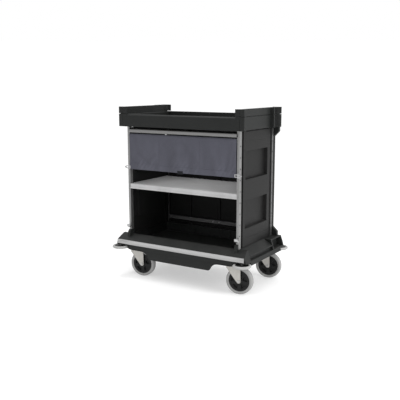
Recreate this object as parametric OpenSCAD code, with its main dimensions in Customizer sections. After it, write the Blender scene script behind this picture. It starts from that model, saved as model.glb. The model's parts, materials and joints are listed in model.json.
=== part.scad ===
// Housekeeping cart: a moulded base on four swivel castors, aluminium corner posts,
// plastic side and back panels, a shelf, a top tray with raised end rails, and a
// front blind that is pulled down from a roller under the tray.
// Millimetres. +X runs along the cart, the open front faces -Y and +Z is up.
// The origin is on the floor, under the middle of the cart.

/* [Tray] */
// Length of the tray
tray_l = 1073; // [1060:1:1090]
// Depth of the tray
tray_d = 593; // [585:1:600]
// Height of the tray's underside above the floor
tray_z = 1164.5; // [1160:0.5:1180]
// Height of the tray's walls
tray_wall_h = 94; // [85:1:105]
// Height of the raised end rails
end_rail_h = 49.4; // [45:0.1:60]
// How far the end walls stand back from the corner blocks
end_inset = 29.5; // [20:0.5:32]

/* [Base] */
// Length of the base at its lower edge
base_l = 1156; // [1150:1:1170]
// Height of the base's lower edge
base_z = 226; // [226:1:232]
// Height of the rim that the posts stand on
rim_z = 332; // [325:1:340]
// Height of the deck floor inside the rim
deck_z = 265; // [260:1:275]
// Front of the base, before the metal strip
base_front = 316; // [312:1:320]
// Rear of the base
base_rear = 312; // [310:1:316]

/* [Posts] */
// Width of a post along the cart
post_w = 18.5; // [16:0.5:20]
// Depth of a post across the cart
post_d = 32; // [28:1:34]
// Outer face of the posts
post_out = 483.5; // [480:0.5:486]
// Front face of the front posts
post_front = 261; // [258:1:264]
// Rear face of the rear posts
post_rear = 271; // [268:1:273]
// Depth of a rear post across the cart
rear_post_d = 22; // [20:1:30]

/* [Shelf] */
// Height of the shelf's top
shelf_z = 726; // [650:1:800]
// Height of the shelf's front lip
shelf_lip = 38; // [28:1:40]

/* [Blind] */
// Height of the roller's axis
roller_z = 1098; // [1094:1:1100]
// Height of the curtain's lower edge
hem_z = 838; // [830:1:850]
// Width of the curtain
curtain_w = 920; // [900:1:926]

/* [Castors] */
// Diameter of a wheel
wheel_d = 200; // [190:1:200]
// Width of a tyre
tyre_w = 42; // [36:1:44]
// Distance from the swivel axis to the wheel axle
trail = 50.4; // [45:0.1:55]
// How far the castors are swivelled
swivel = 9; // [0:1:20]

/* [Bumpers] */
// Outer radius of a bumper roller
bumper_r = 66; // [60:1:68]
// Height of a bumper roller's middle
bumper_z = 232; // [230:0.5:234]

/* [Hidden] */
// Corners: name, side along X, side along Y
CORNERS = [
    ["front_left", -1, -1],
    ["front_right", 1, -1],
    ["rear_left", -1, 1],
    ["rear_right", 1, 1],
];
CORNER_NODES = ["castor_plate", "castor_fork", "castor_axle", "wheel_hub", "wheel_tyre",
    "bumper_hub", "bumper_ring"];
FIXED_NODES = [
    "base_deck", "front_skirt", "rear_skirt", "front_strip", "strip_screws",
    "post_front_left", "post_front_right", "post_rear_left", "post_rear_right", "post_feet",
    "front_top_rail", "rear_rails", "rail_bolts",
    "side_panel_left", "side_panel_right", "back_panel_left", "back_panel_right",
    "corner_gussets", "tray", "end_rail_left", "end_rail_right",
    "shelf", "shelf_supports", "blind_brackets", "upper_catches", "lower_catches",
    "bumper_pins", "castor_bolts", "blind_tube", "blind_curtain", "blind_bar", "pull_tab",
];

$fn = 48;

black = "#2e302f";
grey_black = "#434343";
satin_metal = "#a3a3a1";
light_metal = "#c6c6c4";

// Tray
tray_x = tray_l / 2;
tray_y = tray_d / 2;
tray_top = tray_z + tray_wall_h;
rail_seam = 3.5;
rail_top = tray_top + rail_seam + end_rail_h;
end_wall_x = tray_x - end_inset;
tray_floor_t = 5.5;
tray_wall_t = 10;
corner_round = 6;
front_block_y = 270;
rear_block_y = 164;
block_inner_x = 465;
end_wall_t = 17;

// Base
base_x = base_l / 2;
shoulder_x = 560;
shoulder_z = 290;
block_top_x = 546;
front_slope_y = 262;
slope_top_z = 326;
rim_in_x = 478;
rim_in_y = 240;
panel_foot_x = 490;
gutter_x = 546;
gutter_z = 258;
side_recess_y = [-237, 128];
corner_recess_y = [142, 292];
base_round = 22;
shell_t = 6;

// Posts: middle of each post
post_x = post_out - post_w / 2;
post_in = post_out - post_w;
front_post_y = -post_front + post_d / 2;
rear_post_y = post_rear - rear_post_d / 2;
post_wall = 2;
slot_pitch = 79;
slot_count = 9;
slot_top_z = 1058;

// Panels
panel_top = 1155;
side_skin_x = 478.5;
side_flange_x = 468;
side_body_y = [-204, 216];
pocket_y = [-169, 174];
pocket_z = [[464, 668], [816, 1018]];
pocket_depth = 26;
back_panel_y = [274, 304];
back_panel_x = 484;
back_stile = 19;
back_mid_x = 262;

// Blind
roller_y = -253;
roller_r = 12.4;
rail_y = [-271, -243];
rail_z = [1118, 1147];
curtain_y = -266.4;
curtain_t = 0.8;
bar_z = [846, 872];
bar_y = [-268.6, -264.2];
grip_x = 505;
grip_y = [-273.5, -264.2];
grip_z = [845, 866];
grip_t = 5;
grip_mid_z = (grip_z[0] + grip_z[1]) / 2;

// Castors
castor_x = 427.8;
castor_y = 234.2;
axle_z = wheel_d / 2;
wheel_r = wheel_d / 2;
rim_r = 78;
axle_r = 6;
pin_r = 8;
fit_gap = 0.05;
plate_t = 5;
plate_z = base_z - plate_t;
crown_z = 205;
crown_t = 4;
cheek_in = 27;
cheek_t = 4;

// Bumpers
bumper_x = 536;
bumper_y = 306;
bumper_tube = 10;
bumper_hub_r = 48;
bumper_pocket_top = 247;

// Points of an arc of radius r about (cx, cz), from angle a0 to a1 in n steps
function arc(cx, cz, r, a0, a1, n) =
    [for (i = [0:n]) [cx + r * cos(a0 + (a1 - a0) * i / n), cz + r * sin(a0 + (a1 - a0) * i / n)]];
// A half outline and its mirror image across X = 0, as one closed outline
function both_sides(half) =
    concat(half, [for (i = [len(half) - 1:-1:0]) [-half[i][0], half[i][1]]]);

// An outline in X and Z, extruded along Y from y0 to y1
module along_y(y0, y1) {
    translate([0, y1, 0]) rotate([90, 0, 0]) linear_extrude(height = y1 - y0) children();
}
// An outline in Y and Z, extruded along X from x0 to x1
module along_x(x0, x1) {
    translate([x0, 0, 0]) rotate([90, 0, 90]) linear_extrude(height = x1 - x0) children();
}
// A box from its lowest and highest corners
module block(low, high) {
    translate(low) cube(high - low);
}
// The child and its mirror image across X = 0
module both_ends() {
    children();
    mirror([1, 0, 0]) children();
}
// A pocket whose four walls lean in: open face at x_open, floor at x_floor
module pocket(y, z, x_open, x_floor, lean) {
    intersection() {
        along_y(y[0], y[1]) polygon([
            [x_floor, z[0] + lean], [x_floor, z[1] - lean], [x_open, z[1]], [x_open, z[0]]]);
        linear_extrude(height = z[1]) polygon([
            [x_floor, y[0] + lean], [x_open, y[0]], [x_open, y[1]], [x_floor, y[1] - lean]]);
    }
}

// ---- Base ----

// Outer body of the base, with its four boxy corners
module base_body() {
    intersection() {
        along_y(-base_front, base_rear) polygon(both_sides([
            [base_x, base_z], [shoulder_x, shoulder_z], [block_top_x, rim_z]]));
        along_x(-base_x, base_x) polygon([
            [-base_front, base_z], [-base_front, shoulder_z], [-front_slope_y, slope_top_z],
            [12 - front_slope_y, rim_z], [base_rear - 6, rim_z], [base_rear, base_z]]);
        linear_extrude(height = rim_z) polygon(both_sides(concat(
            arc(base_x - base_round, -base_front + base_round, base_round, -90, 0, 6),
            arc(base_x - base_round, base_rear - base_round, base_round, 0, 90, 6))));
    }
}
// What is taken off each side: a slope and an undercut gutter between the corner blocks, and a
// deep recess in the side of the rear block
module side_cut() {
    x1 = base_x + 1;
    along_y(side_recess_y[0], side_recess_y[1]) polygon([
        [panel_foot_x, rim_z], [shoulder_x, shoulder_z], [shoulder_x, shoulder_z - 4],
        [gutter_x, shoulder_z - 7], [gutter_x, gutter_z], [x1, gutter_z - 3],
        [x1, rim_z + 1], [panel_foot_x, rim_z + 1]]);
    block([panel_foot_x + 26, corner_recess_y[0], gutter_z], [x1, corner_recess_y[1], rim_z - 7]);
}
// Castor pad under the deck
module castor_pad(sx, sy) {
    pad = 56;
    translate([sx * castor_x - pad, sy * castor_y - pad, base_z])
        cube([2 * pad, 2 * pad, deck_z - base_z]);
}
module base_deck() {
    rib = 5;
    color(black) difference() {
        base_body();
        both_ends() side_cut();
        // Deck well
        block([-rim_in_x, -rim_in_y, deck_z], [rim_in_x, rim_in_y, rim_z + 1]);
        // Pockets moulded in the rear wall of the well
        for (x = [-330, -190, 66, 134, 310])
            block([x, rim_in_y - 1, deck_z + 6], [x + 46, rim_in_y + 6, rim_z - 8]);
        // Hollow underside, with pads for the castors and bumper pins and two cross ribs
        difference() {
            block([-540, -base_front + shell_t, base_z - 1], [540, base_rear - shell_t, deck_z - shell_t]);
            for (c = CORNERS) castor_pad(c[1], c[2]);
            for (c = CORNERS) translate([c[1] * bumper_x, c[2] * bumper_y, base_z - 1])
                cylinder(r = 76, h = 60);
            for (x = [-170, 170]) block([x - rib, -base_front, base_z], [x + rib, base_rear, deck_z]);
            block([-540, -rib, base_z], [540, rib, deck_z]);
        }
        // Bumper pockets under the corners
        for (c = CORNERS) translate([c[1] * bumper_x, c[2] * bumper_y, base_z - 2])
            cylinder(r = bumper_r + 6, h = bumper_pocket_top - base_z + 2);
    }
}
// Lower edge of the skirt: level in the middle, arched up over each castor
skirt_low_z = 157;
skirt_arch_z = 213;
skirt_edge = concat(
    [[262, skirt_low_z], [272, skirt_low_z + 8]],
    [for (a = [160:-14:90])
        [342 + 64 * cos(a), skirt_low_z + 8 + (skirt_arch_z - skirt_low_z - 8) * sin(a)]],
    [[440, skirt_arch_z + 1], [462, skirt_arch_z + 5], [466, base_z]]);
module skirt(y) {
    color(black) along_y(y - 4, y + 4) polygon(both_sides(skirt_edge));
}
module front_skirt() { skirt(-302); }
module rear_skirt() { skirt(298); }

strip_x = 557;
strip_z = [258, 291];
strip_screw_x = [-549, 498];
strip_screw_z = 275;
// Metal edge strip with three long ribs, swelling towards its lower edge
module front_strip() {
    steps = 18;
    height = strip_z[1] - strip_z[0];
    // How far the face stands out at a step: a slope, plus ribs between the two edges
    function rib(i) = i > 0 && i < steps ? 1.4 * cos(12 * height * i / steps) : 0;
    function swell(i) = 4.4 + 1.5 * (1 - i / steps) + rib(i);
    face = [for (i = [0:steps]) [-base_front - swell(i), strip_z[0] + height * i / steps]];
    color(light_metal) difference() {
        along_x(-strip_x, strip_x)
            polygon(concat([[-base_front, strip_z[1]], [-base_front, strip_z[0]]], face));
        for (x = strip_screw_x) translate([x, -base_front + 1, strip_screw_z]) rotate([90, 0, 0]) {
            cylinder(r = 2.6, h = 10);
            translate([0, 0, 4]) cylinder(r = 5.5, h = 10);
        }
    }
}
module strip_screws() {
    color("#555555") for (x = strip_screw_x) translate([x, -base_front, strip_screw_z]) rotate([90, 0, 0]) {
        cylinder(r = 2.5, h = 3.2);
        translate([0, 0, 3]) cylinder(r = 4.6, h = 2);
    }
}

// ---- Posts ----

// Hollow post with a row of slots in its outer side; sx and sy point outwards
module post(sx, sy) {
    y = sy < 0 ? front_post_y : rear_post_y;
    d = sy < 0 ? post_d : rear_post_d;
    color(satin_metal) translate([sx * post_x, y, 0]) difference() {
        translate([0, 0, rim_z]) linear_extrude(height = tray_z - rim_z) difference() {
            square([post_w, d], center = true);
            square([post_w - 2 * post_wall, d - 2 * post_wall], center = true);
            // Long grooves in the outer side and in the front
            translate([sx * post_w / 2, d / 2 - 5]) square([1.2, 3], center = true);
            for (x = [-3, 3]) translate([x, sy * d / 2]) square([1.6, 1.2], center = true);
        }
        for (i = [0:slot_count - 1]) translate([sx * post_w / 2, 0, slot_top_z - slot_pitch * i])
            cube([2 * post_wall + 2, d / 2, 6], center = true);
    }
}
module post_front_left() { post(-1, -1); }
module post_front_right() { post(1, -1); }
module post_rear_left() { post(-1, 1); }
module post_rear_right() { post(1, 1); }

foot_h = 36;
// Shoe inside and in front of the bottom of a post, with a nose on the base's front slope
module foot(sx, sy) {
    wall = 6;
    d = sy < 0 ? post_d : rear_post_d;
    y0 = sy < 0 ? -post_front : post_rear - rear_post_d;
    slope = (slope_top_z - shoulder_z) / (base_front - front_slope_y);
    // Height of the base's front slope at a depth in front of it
    function slope_z(depth) = slope_top_z - slope * (depth - front_slope_y);
    color(black) mirror([sx < 0 ? 1 : 0, 0, 0]) {
        block([post_in - wall, y0, rim_z], [post_in, y0 + d, rim_z + foot_h]);
        if (sy < 0) along_x(post_in - wall, post_out) polygon([
            [12 - front_slope_y, rim_z], [-front_slope_y, slope_top_z],
            [-post_front - 25, slope_z(post_front + 25)], [-post_front - 25, rim_z + 2],
            [-post_front - 20, rim_z + foot_h - 16], [-post_front - 10, rim_z + foot_h - 3],
            [-post_front, rim_z + foot_h], [-post_front, rim_z]]);
    }
}
module post_feet() {
    for (c = CORNERS) foot(c[1], c[2]);
}

// ---- Rails and panels ----

rear_rail_y = [247, 262];
rear_rail_z = [[368, 394], [1114, 1144]];
module rear_rails() {
    color("#3c3d3d") for (z = rear_rail_z) difference() {
        block([-post_in, rear_rail_y[0], z[0]], [post_in, rear_rail_y[1], z[1]]);
        block([-post_in - 1, rear_rail_y[0] + 2, z[0] + 2], [post_in + 1, rear_rail_y[1] + 1, z[1] - 2]);
    }
}
module rail_bolts() {
    color("silver") for (x = [-440, -30, 30, 440], z = rear_rail_z)
        translate([x, rear_rail_y[0], (z[0] + z[1]) / 2]) rotate([90, 0, 0])
            cylinder(r1 = 6.5, r2 = 4.5, h = 4);
}

// Upright slot through a side panel's flange, 19 mm deep along Y
module flange_slot(y, z) {
    block([side_flange_x - 1, y, z[0]], [post_out + 1, y + 19, z[1]]);
}
// End panel between two posts: a skin with two pockets that stand in towards the load space
module side_panel(sx) {
    skin = 4;
    z = [rim_z, panel_top];
    color(grey_black) mirror([sx < 0 ? 1 : 0, 0, 0]) difference() {
        union() {
            difference() {
                block([side_flange_x, side_body_y[0], z[0]], [post_out, side_body_y[1], z[1]]);
                block([side_flange_x - 1, side_body_y[0] + skin, z[0] + skin],
                    [side_skin_x, side_body_y[1] - skin, z[1] - skin]);
            }
            // Flanges that reach the posts
            block([side_flange_x, -post_front + post_d, z[0]],
                [side_flange_x + skin, side_body_y[0] + skin, z[1]]);
            block([side_flange_x, side_body_y[1] - skin, z[0]],
                [side_flange_x + skin, post_rear - rear_post_d, z[1]]);
            for (p = pocket_z) block([post_out - pocket_depth - skin, pocket_y[0] - skin, p[0] - skin],
                [side_skin_x + 1, pocket_y[1] + skin, p[1] + skin]);
        }
        for (p = pocket_z) pocket(pocket_y, p, post_out + 0.01, post_out - pocket_depth, 5);
        // Slots in the upper part of both flanges
        for (z = [[912, 961], [1011, 1054]]) flange_slot(side_body_y[0] - 22, z);
        for (z = [[911, 973], [1051, 1088]]) flange_slot(side_body_y[1] + 3, z);
        // Long grooves across the outer face
        for (g = [391, 1088]) along_y(side_body_y[0] - 1, side_body_y[1] + 1)
            polygon([[post_out + 1, g - 3], [post_out - 1.8, g], [post_out + 1, g + 3]]);
    }
}
module side_panel_left() { side_panel(-1); }
module side_panel_right() { side_panel(1); }

// Half of the back: a framed panel with a middle stile and a cross rail
module back_panel(sx) {
    y = back_panel_y;
    inset = 11;
    x_cells = [[1 + back_stile, back_mid_x - 6], [back_mid_x + 6, back_panel_x - back_stile]];
    z_cells = [[rim_z + 22, 652], [672, panel_top - 22]];
    color(black) mirror([sx < 0 ? 1 : 0, 0, 0]) difference() {
        block([1, y[0], rim_z], [back_panel_x, y[1], panel_top]);
        for (x = x_cells, z = z_cells) {
            block([x[0], y[0] - 1, z[0]], [x[1], y[0] + inset, z[1]]);
            block([x[0], y[1] - inset, z[0]], [x[1], y[1] + 1, z[1]]);
        }
    }
}
module back_panel_left() { back_panel(-1); }
module back_panel_right() { back_panel(1); }

gusset_y = [276, 302];
gusset_x = 524;
// Corner gussets beside the back panels: under the tray and above the base
module corner_gussets() {
    x0 = back_panel_x;
    color(black) both_ends() {
        along_y(gusset_y[0], gusset_y[1]) polygon([
            [x0, tray_z], [gusset_x, tray_z], [gusset_x, tray_z - 34],
            [x0 + 3, tray_z - 72], [x0, tray_z - 72]]);
        along_y(gusset_y[0], gusset_y[1]) polygon([
            [x0, rim_z], [gusset_x, rim_z], [gusset_x, rim_z + 31],
            [x0 + 3, rim_z + 66], [x0, rim_z + 66]]);
    }
}

// ---- Tray and end rails ----

// Half of the outer outline in plan, with blocks at the corners and the end wall set back
tray_half = concat(
    arc(tray_x - corner_round, -tray_y + corner_round, corner_round, -90, 0, 6),
    [[tray_x, -front_block_y], [end_wall_x, -front_block_y + 3]],
    [[end_wall_x, rear_block_y - 2], [tray_x, rear_block_y]],
    arc(tray_x - corner_round, tray_y - corner_round, corner_round, 0, 90, 6));
// Upright flutes on the outer side of the rear blocks
module rear_block_flutes(z0, z1) {
    both_ends() for (y = [176:21:262])
        block([tray_x - 9, y, z0 - 1], [tray_x + 1, y + 15, z1 + 1]);
}
// Bevel along the top of an end wall whose outer face is at x
module top_bevel(x, y) {
    along_y(y[0], y[1]) polygon([[x + 1, tray_top - 5], [x + 1, tray_top + 1], [x - 5, tray_top + 1]]);
}
// Step line down a front corner
module corner_step(z0, z1) {
    block([499, -tray_y - 1, z0 - 1], [502, -tray_y + 1.6, z1 + 1]);
}
module tray() {
    lip = 9;
    inner_x = rail_inner_x - 8;
    inner_y = tray_y - tray_wall_t;
    color(black) difference() {
        translate([0, 0, tray_z]) linear_extrude(height = tray_wall_h) polygon(both_sides(tray_half));
        block([-inner_x, -inner_y, tray_z + tray_floor_t], [inner_x, inner_y, tray_top + 1]);
        // Bevels along the top of the front and rear walls
        for (s = [-1, 1]) along_x(-block_inner_x, block_inner_x) polygon([
            [s * (tray_y + 1), tray_top - lip - 1], [s * (tray_y + 1), tray_top + 1],
            [s * (tray_y - lip + 2), tray_top + 1]]);
        both_ends() {
            // Bevels along the inner edge under each end rail and along the outer edge of each end wall
            along_y(-inner_y, inner_y) polygon([
                [inner_x - 1, tray_top - 8], [inner_x - 1, tray_top + 1], [inner_x + 8, tray_top + 1]]);
            top_bevel(end_wall_x, [-front_block_y + 3, rear_block_y - 2]);
            top_bevel(tray_x, [-tray_y - 1, -front_block_y + 3]);
            top_bevel(tray_x, [rear_block_y - 2, tray_y + 1]);
            corner_step(tray_z, tray_top);
        }
        rear_block_flutes(tray_z, tray_top);
        // Hollow corner blocks, open underneath
        both_ends() for (y = [[-tray_y + 8, -front_block_y - 4], [rear_block_y + 8, tray_y - 8]])
            block([end_wall_x + 1, y[0], tray_z - 1], [tray_x - 14, y[1], tray_top - 6]);
    }
}
// Half of the plan of an end rail: blocks at both ends, joined to the wall by hollow curves
rail_inner_x = end_wall_x - end_wall_t;
cove = rail_inner_x - block_inner_x;
end_rail_plan = concat(
    [[block_inner_x, -tray_y]],
    arc(tray_x - corner_round, -tray_y + corner_round, corner_round, -90, 0, 6),
    [[tray_x, -front_block_y], [end_wall_x, -front_block_y + 3]],
    [[end_wall_x, rear_block_y - 2], [tray_x, rear_block_y]],
    arc(tray_x - corner_round, tray_y - corner_round, corner_round, 0, 90, 6),
    [[block_inner_x, tray_y], [block_inner_x, tray_y - 12]],
    arc(block_inner_x, tray_y - 12 - cove, cove, 90, 0, 6),
    arc(block_inner_x, -tray_y + 12 + cove, cove, 0, -90, 6));
module end_rail(sx) {
    z0 = tray_top + rail_seam;
    color(black) mirror([sx < 0 ? 1 : 0, 0, 0]) difference() {
        union() {
            translate([0, 0, z0]) linear_extrude(height = end_rail_h) polygon(end_rail_plan);
            // Plinth that stands back from the faces, and leaves a seam over the tray
            block([rail_inner_x + 4, -tray_y + 20, tray_top], [end_wall_x - 6, tray_y - 20, z0 + 1]);
            for (y = [[-tray_y + 8, -front_block_y - 2], [rear_block_y + 6, tray_y - 10]])
                block([rail_inner_x + 4, y[0], tray_top], [tray_x - 11, y[1], z0 + 1]);
        }
        // Grooves along the inner face
        for (z = [z0 + 8:13:z0 + 34]) block([rail_inner_x - 1, -240, z], [rail_inner_x + 3, 240, z + 5]);
        // Bevel along the outer top edge of the wall
        along_y(-front_block_y + 8, rear_block_y - 6) polygon([
            [end_wall_x - 4, rail_top + 1], [end_wall_x + 1, rail_top - 4], [end_wall_x + 1, rail_top + 1]]);
        corner_step(z0, rail_top);
        rear_block_flutes(z0, rail_top);
    }
}
module end_rail_left() { end_rail(-1); }
module end_rail_right() { end_rail(1); }

// ---- Shelf ----

shelf_x = 464.5;
shelf_front = -260.6;
shelf_rear = 231;
shelf_t = 7;
shelf_seams = [-98, 285];
shelf_low = shelf_z - shelf_lip;
// Outline in Y and Z: plate, rear edge, and a front lip with one long groove
shelf_outline = concat(
    [[shelf_rear, shelf_z], [shelf_rear, shelf_z - 19]],
    [[shelf_rear - 5, shelf_z - 19], [shelf_rear - 5, shelf_z - shelf_t]],
    [[shelf_front + 6, shelf_z - shelf_t], [shelf_front + 6, shelf_low]],
    arc(shelf_front + 1.6, shelf_low + 4.4, 3.6, -90, -200, 6),
    [[shelf_front, shelf_low + 10], [shelf_front + 1.6, shelf_low + 12]],
    [[shelf_front + 1.6, shelf_low + 17], [shelf_front, shelf_low + 19]],
    arc(shelf_front + 4, shelf_z - 4, 4, 180, 90, 5));
module shelf() {
    color(light_metal) difference() {
        union() {
            along_x(-shelf_x, shelf_x) polygon(shelf_outline);
            // Raised edges at both ends
            both_ends()
                block([shelf_x - 6, shelf_front + 40, shelf_z - 1], [shelf_x, shelf_rear, shelf_z + 2]);
            // Ribs underneath
            for (x = [-300:150:300])
                block([x - 2, shelf_front + 5, shelf_z - 20], [x + 2, shelf_rear - 4, shelf_z - shelf_t + 1]);
        }
        for (x = shelf_seams)
            block([x - 0.9, shelf_front - 4, shelf_low - 1], [x + 0.9, shelf_front + 1.2, shelf_z + 1]);
    }
}
// Four flat lugs that carry the shelf
module shelf_supports() {
    z = shelf_z - shelf_t;
    color(satin_metal) both_ends() for (y = [[-224, -204], [200, 222]])
        block([438, y[0], z - 6], [side_flange_x, y[1], z]);
}

// ---- Front blind ----

// Metal rail across the front, hollow, with a rounded face
module front_top_rail() {
    r = 9;
    wall = 2.5;
    color(satin_metal) along_x(-post_in, post_in) difference() {
        polygon(concat(
            [[rail_y[1], rail_z[0]], [rail_y[1], rail_z[1]]],
            arc(rail_y[0] + r, rail_z[1] - r, r, 90, 180, 6),
            arc(rail_y[0] + r, rail_z[0] + r, r, 180, 270, 6)));
        polygon([
            [rail_y[1] + 1, rail_z[0] + wall], [rail_y[1] + 1, rail_z[1] - wall],
            [rail_y[0] + r, rail_z[1] - wall], [rail_y[0] + wall + 1, rail_z[1] - r],
            [rail_y[0] + wall + 1, rail_z[0] + r], [rail_y[0] + r, rail_z[0] + wall]]);
    }
}
bracket_t = 5;
module blind_brackets() {
    color(black) both_ends() translate([post_in - bracket_t, roller_y, roller_z]) rotate([0, 90, 0]) {
        cylinder(r = 13, h = bracket_t);
        translate([0, 0, -8]) cylinder(r = 4, h = 8.5);
    }
}
module blind_tube() {
    tube_x = post_in - bracket_t - 1;
    color(satin_metal) translate([-tube_x, roller_y, roller_z]) rotate([0, 90, 0]) difference() {
        cylinder(r = roller_r, h = 2 * tube_x);
        for (z = [-1, 2 * tube_x - 11]) translate([0, 0, z]) cylinder(r = 4 + fit_gap, h = 12);
    }
}
module blind_curtain() {
    color("#5b5d66") block([-curtain_w / 2, curtain_y - curtain_t / 2, bar_z[1]],
        [curtain_w / 2, curtain_y + curtain_t / 2, roller_z]);
}
// Flat bar in the curtain's hem, with a pointed loop at each end
module blind_bar() {
    bar_x = curtain_w / 2 - 2;
    color(light_metal) {
        block([-bar_x, bar_y[0], bar_z[0]], [bar_x, bar_y[1], bar_z[1]]);
        both_ends() along_y(grip_y[0], grip_y[1]) difference() {
            grip_outline(0);
            grip_outline(grip_t);
        }
    }
}
// Outline of a loop, drawn in by a distance
module grip_outline(inset) {
    offset(delta = -inset) polygon([
        [curtain_w / 2 - 8, grip_z[0]], [grip_x - 14, grip_z[0]], [grip_x, grip_mid_z - 3],
        [grip_x, grip_mid_z + 3], [grip_x - 14, grip_z[1]], [curtain_w / 2 - 8, grip_z[1]]]);
}
tab_x = [-21, 21];
module pull_tab() {
    color("#15171c") block([tab_x[0], bar_y[0] - 2, hem_z - 5], [tab_x[1], bar_y[0], bar_z[0] + 10]);
}
catch_t = 2.5;
// Thin clips on the posts that the bar's ends sit against
module upper_catches() {
    color(light_metal) both_ends() {
        block([post_in + 1, -post_front - catch_t, grip_z[0] - 6],
            [post_out - 1, -post_front, grip_z[1] + 6]);
        block([post_out - 2, -post_front - catch_t, grip_z[0] - 6],
            [post_out + 4, -post_front, grip_z[0] - 2]);
    }
}
lower_catch_z = 400;
// Brackets that carry the bar's ends when the blind is down
module lower_catches() {
    color(light_metal) both_ends() difference() {
        union() {
            block([post_in, -post_front - catch_t, lower_catch_z - 14],
                [post_out, -post_front, lower_catch_z + 10]);
            along_x(post_in - 4, post_out + 4) polygon([
                [-post_front - catch_t, lower_catch_z - 12], [-post_front - catch_t, lower_catch_z - 4],
                [-post_front - 16, lower_catch_z - 4], [-post_front - 20, lower_catch_z],
                [-post_front - 20, lower_catch_z + 12], [-post_front - 24, lower_catch_z + 12],
                [-post_front - 24, lower_catch_z - 6], [-post_front - 18, lower_catch_z - 12]]);
        }
        translate([post_x, -post_front + 1, lower_catch_z + 3]) rotate([90, 0, 0]) cylinder(r = 2.2, h = 10);
    }
}

// ---- Castors ----

// Places a child modelled about the swivel axis at a corner, turned to its rest direction
module at_castor(c) {
    translate([c[1] * castor_x, c[2] * castor_y, 0]) rotate([0, 0, swivel]) children();
}
module castor_plate(c) {
    color("silver") translate([c[1] * castor_x, c[2] * castor_y, 0]) difference() {
        union() {
            translate([-44, -42, plate_z]) cube([88, 84, plate_t]);
            translate([0, 0, plate_z - 9]) cylinder(r = 30, h = 9.5);
        }
        translate([0, 0, plate_z - 10]) cylinder(r = pin_r + fit_gap, h = plate_t + 11);
    }
}
module castor_bolts() {
    color("silver") for (c = CORNERS, x = [-36, 36], y = [-34, 34])
        translate([c[1] * castor_x + x, c[2] * castor_y + y, plate_z - 5]) cylinder(r = 5.5, h = 5, $fn = 6);
}
// Pressed fork: a crown plate with two tapered cheeks, and the swivel pin on top
module castor_fork(c) {
    cheek = concat(
        [[-38, crown_z + crown_t], [-43, crown_z - 8], [35.8, 94]],
        arc(trail, axle_z, 15, 200, 340, 10),
        [[64.5, 112], [63, crown_z - 8], [58, crown_z + crown_t]]);
    color("#c8c5be") at_castor(c) difference() {
        union() {
            block([-38, -cheek_in - cheek_t, crown_z], [58, cheek_in + cheek_t, crown_z + crown_t]);
            for (y = [-cheek_in - cheek_t, cheek_in]) along_y(y, y + cheek_t) polygon(cheek);
            translate([0, 0, crown_z + crown_t - 0.5]) cylinder(r = 27, h = 3);
            translate([0, 0, crown_z + crown_t]) cylinder(r = pin_r, h = base_z - 1 - crown_z - crown_t);
        }
        translate([trail, 0, axle_z]) rotate([90, 0, 0])
            cylinder(r = axle_r + fit_gap, h = 3 * cheek_in, center = true);
    }
}
module castor_axle(c) {
    head_y = cheek_in + cheek_t;
    color("silver") at_castor(c) translate([trail, 0, axle_z]) rotate([90, 0, 0]) {
        cylinder(r = axle_r, h = 2 * head_y, center = true);
        for (s = [-1, 1]) translate([0, 0, s * (head_y + 3)])
            cylinder(r = 9.5, h = 6, center = true, $fn = 6);
    }
}
// Wheel centre with five fan-shaped pockets on each side
module wheel_hub(c) {
    face = 17;
    web = 4;
    boss = 25;
    color("#202121") at_castor(c) translate([trail, 0, axle_z]) rotate([90, 0, 0]) difference() {
        union() {
            cylinder(r = rim_r, h = 2 * (tyre_w / 2 - 2), center = true);
            cylinder(r = 21, h = 2 * boss, center = true);
        }
        for (s = [-1, 1]) translate([0, 0, s * face]) rotate_extrude()
            translate([21, s > 0 ? 0 : -10]) square([47, 10]);
        for (i = [0:4], s = [-1, 1]) rotate([0, 0, 20 + 72 * i])
            translate([0, 0, s > 0 ? web : -face - 1]) linear_extrude(height = face + 1 - web)
                polygon(concat(arc(0, 0, 60, -23, 23, 6), arc(0, 0, 30, 15, -15, 3)));
        cylinder(r = axle_r + fit_gap, h = 3 * boss, center = true);
    }
}
module wheel_tyre(c) {
    w = tyre_w / 2;
    // Half of the outline, from the rim to the tread
    half = [[rim_r, w - 2], [rim_r + 3, w], [wheel_r - 8, w], [wheel_r - 3, w - 2], [wheel_r - 0.8, w - 6],
        [wheel_r, w - 12]];
    color("#b4b4b2") at_castor(c) translate([trail, 0, axle_z]) rotate([90, 0, 0])
        rotate_extrude($fn = 96) polygon(concat(half, [for (i = [5:-1:0]) [half[i][0], -half[i][1]]]));
}

// ---- Bumper rollers ----

module at_bumper(c) {
    translate([c[1] * bumper_x, c[2] * bumper_y, bumper_z]) children();
}
bumper_pin_r = 8;
module bumper_hub(c) {
    color("#1c1d1d") at_bumper(c) difference() {
        union() {
            cylinder(r = bumper_hub_r, h = 12, center = true);
            cylinder(r = 16, h = 18, center = true);
        }
        cylinder(r = bumper_pin_r + fit_gap, h = 40, center = true);
    }
}
module bumper_ring(c) {
    mid = bumper_r - bumper_tube;
    color("#b9b9b7") at_bumper(c) rotate_extrude($fn = 96) polygon(concat(
        [[bumper_hub_r, 6], [bumper_hub_r, -6]], arc(mid, 0, bumper_tube, -140, 140, 18)));
}
module bumper_pins() {
    head_z = bumper_z - 9 - 4;
    color("silver") for (c = CORNERS) translate([c[1] * bumper_x, c[2] * bumper_y, 0]) {
        translate([0, 0, head_z]) cylinder(r = bumper_pin_r, h = bumper_pocket_top - head_z);
        translate([0, 0, head_z]) cylinder(r = 13, h = 3.6);
    }
}

// ---- What is drawn ----

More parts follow.
